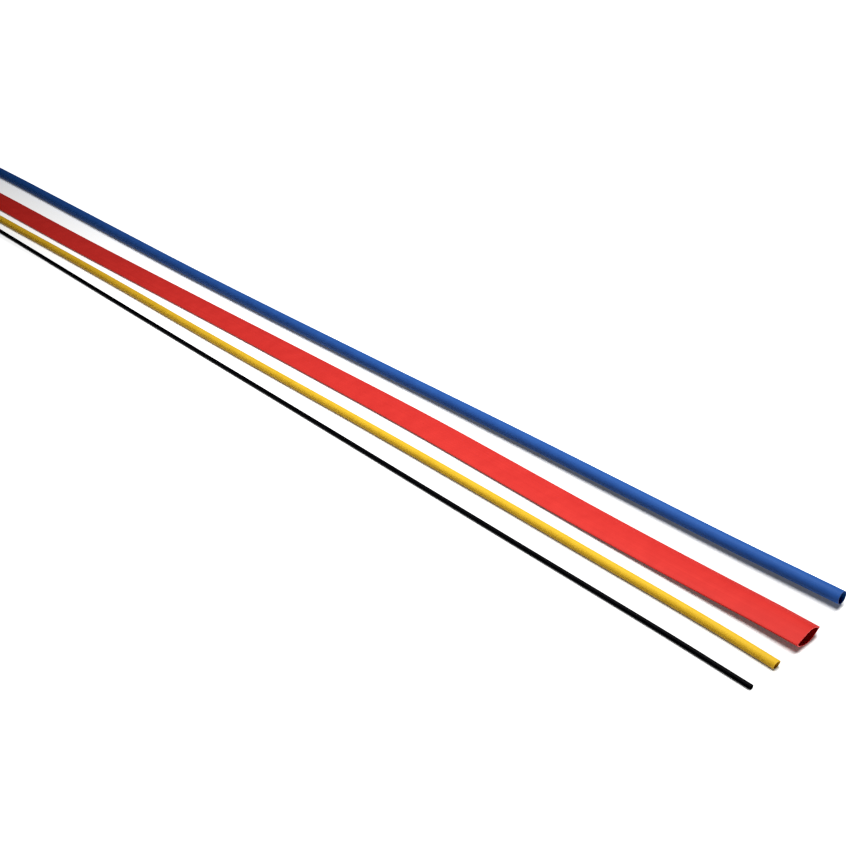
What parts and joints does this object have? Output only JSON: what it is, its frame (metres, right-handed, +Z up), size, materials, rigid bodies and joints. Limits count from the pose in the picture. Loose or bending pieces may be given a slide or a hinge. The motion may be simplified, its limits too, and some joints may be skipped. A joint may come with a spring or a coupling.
{
  "type": "heat-shrink tubing set",
  "caption": "Loose straight lengths of thin-wall heat-shrink tubing in graded bores, open at both ends; the widest is supplied lay-flat and gapes at one end into a lens-shaped mouth.",
  "frame": {"origin": "middle of the row's floor area, on the surface that the tubes lie on", "axes": "+X along the red tube towards the near ends, +Y across the row from the black tube to the blue one, +Z up"},
  "size_m": [1.0058, 0.0828, 0.007],
  "materials": {
    "blue_polyolefin": "satin extruded polyolefin, blue",
    "red_polyolefin": "satin extruded polyolefin, red",
    "yellow_polyolefin": "satin extruded polyolefin, yellow",
    "black_polyolefin": "satin extruded polyolefin, black"
  },
  "bodies": {
    "red_tube": {"red_tube": "red_polyolefin"},
    "blue_tube": {"blue_tube": "blue_polyolefin"},
    "yellow_tube": {"yellow_tube": "yellow_polyolefin"},
    "black_tube": {"black_tube": "black_polyolefin"}
  },
  "joints": [
    {"name": "blue_lift", "type": "slide", "parent": "red_tube", "child": "blue_tube", "axis": [0, 0, 1], "range_m": [0, 0.1]},
    {"name": "yellow_lift", "type": "slide", "parent": "red_tube", "child": "yellow_tube", "axis": [0, 0, 1], "range_m": [0, 0.1]},
    {"name": "black_lift", "type": "slide", "parent": "red_tube", "child": "black_tube", "axis": [0, 0, 1], "range_m": [0, 0.1]}
  ]
}
